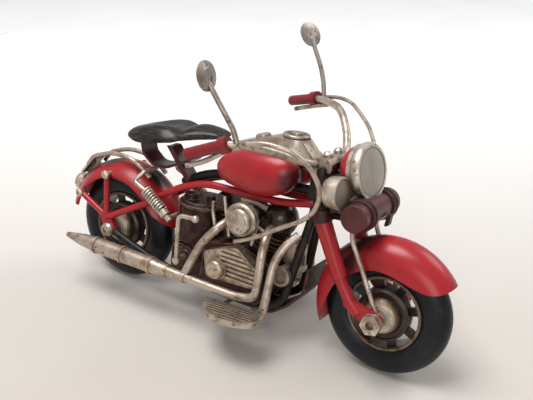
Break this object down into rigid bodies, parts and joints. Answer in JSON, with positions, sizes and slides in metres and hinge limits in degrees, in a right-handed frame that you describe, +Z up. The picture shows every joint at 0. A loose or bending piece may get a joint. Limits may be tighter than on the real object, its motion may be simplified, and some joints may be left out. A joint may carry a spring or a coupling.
{
  "type": "tin toy motorcycle",
  "caption": "Decorative tin model of a classic touring motorcycle with steerable fork, rolling wheels, side stand, tank, saddle, lamps and exhaust",
  "frame": {"origin": "middle of the footprint on the floor, with the model leaning on its side stand", "axes": "+X forward along the model, +Y to its left, +Z up"},
  "size_m": [0.1856, 0.0956, 0.1168],
  "materials": {
    "tyre_rubber": "painted black, low sheen",
    "dark_bronze": "dark bronze patina",
    "red_paint": "gloss red, aged",
    "black_paint": "satin black, aged",
    "maroon_paint": "satin maroon",
    "worn_silver": "silver wash with brown patina",
    "engine_bronze": "dark bronze with tan edges",
    "lamp_glass": "flat warm grey, opaque"
  },
  "bodies": {
    "chassis": {"neck": "black_paint", "rear_axle": "worn_silver", "rear_stays": "red_paint", "top_tube": "black_paint", "frame_rails": "red_paint", "cradle_tubes": "black_paint", "skid_plate": "black_paint", "stand_lug": "black_paint", "engine_cases": "engine_bronze", "timing_cover": "worn_silver", "primary_cover": "worn_silver", "cylinder_heads": "engine_bronze", "cylinders": "engine_bronze", "pushrods": "worn_silver", "air_cleaner": "worn_silver", "generator": "worn_silver", "oil_tank": "black_paint", "exhaust_pipes": "worn_silver", "muffler": "worn_silver", "crash_bars": "worn_silver", "footboards": "worn_silver", "console": "worn_silver", "filler_cap": "worn_silver", "fuel_tanks": "red_paint", "seat": "black_paint", "seat_frame": "black_paint", "rear_mudguard": "red_paint", "mudguard_rails": "worn_silver", "tail_lamp": "worn_silver", "shock_springs": "worn_silver", "shock_rods": "red_paint", "control_wire_right": "worn_silver"},
    "fork": {"front_axle": "worn_silver", "handlebar": "worn_silver", "grips": "red_paint", "bar_clamp": "black_paint", "levers": "worn_silver", "mirrors": "worn_silver", "control_wire_left": "worn_silver", "steering_stem": "black_paint", "fork_crown": "black_paint", "upper_fork_tubes": "black_paint", "headlight_rings": "worn_silver", "lamp_lenses": "lamp_glass", "headlight_bowl": "red_paint", "spot_lamps": "worn_silver", "fork_legs": "red_paint", "tool_roll": "maroon_paint", "roll_straps": "maroon_paint", "roll_stays": "worn_silver", "front_mudguard": "red_paint"},
    "front_wheel": {"front_hub": "dark_bronze", "front_rim": "dark_bronze", "front_tyre": "tyre_rubber"},
    "rear_wheel": {"rear_hub": "dark_bronze", "rear_rim": "dark_bronze", "rear_tyre": "tyre_rubber"},
    "side_stand": {"side_stand": "black_paint"},
    "kick_starter": {"kick_lever": "worn_silver"}
  },
  "joints": [
    {"name": "steering", "type": "hinge", "parent": "chassis", "child": "fork", "pos_m": [0.04117, -0.00668, 0.05777], "axis": [-0.2062, 0.1615, 0.9651], "range_deg": [-13, 13], "deforming": ["control_wire_right"]},
    {"name": "front_wheel_spin", "type": "hinge", "parent": "fork", "child": "front_wheel", "pos_m": [0.06787, -0.01221, 0.02473], "axis": [0, 0.9863, -0.165], "continuous": true},
    {"name": "rear_wheel_spin", "type": "hinge", "parent": "chassis", "child": "rear_wheel", "pos_m": [-0.06033, -0.01221, 0.02473], "axis": [0, 0.9863, -0.165], "continuous": true},
    {"name": "stand_fold", "type": "hinge", "parent": "chassis", "child": "side_stand", "pos_m": [-0.00523, -0.00242, 0.01113], "axis": [0, 0.8616, 0.5075], "range_deg": [0, 88]},
    {"name": "kick", "type": "hinge", "parent": "chassis", "child": "kick_starter", "pos_m": [-0.01843, -0.02552, 0.02635], "axis": [0, 0.9863, -0.165], "range_deg": [-50, 0]}
  ]
}
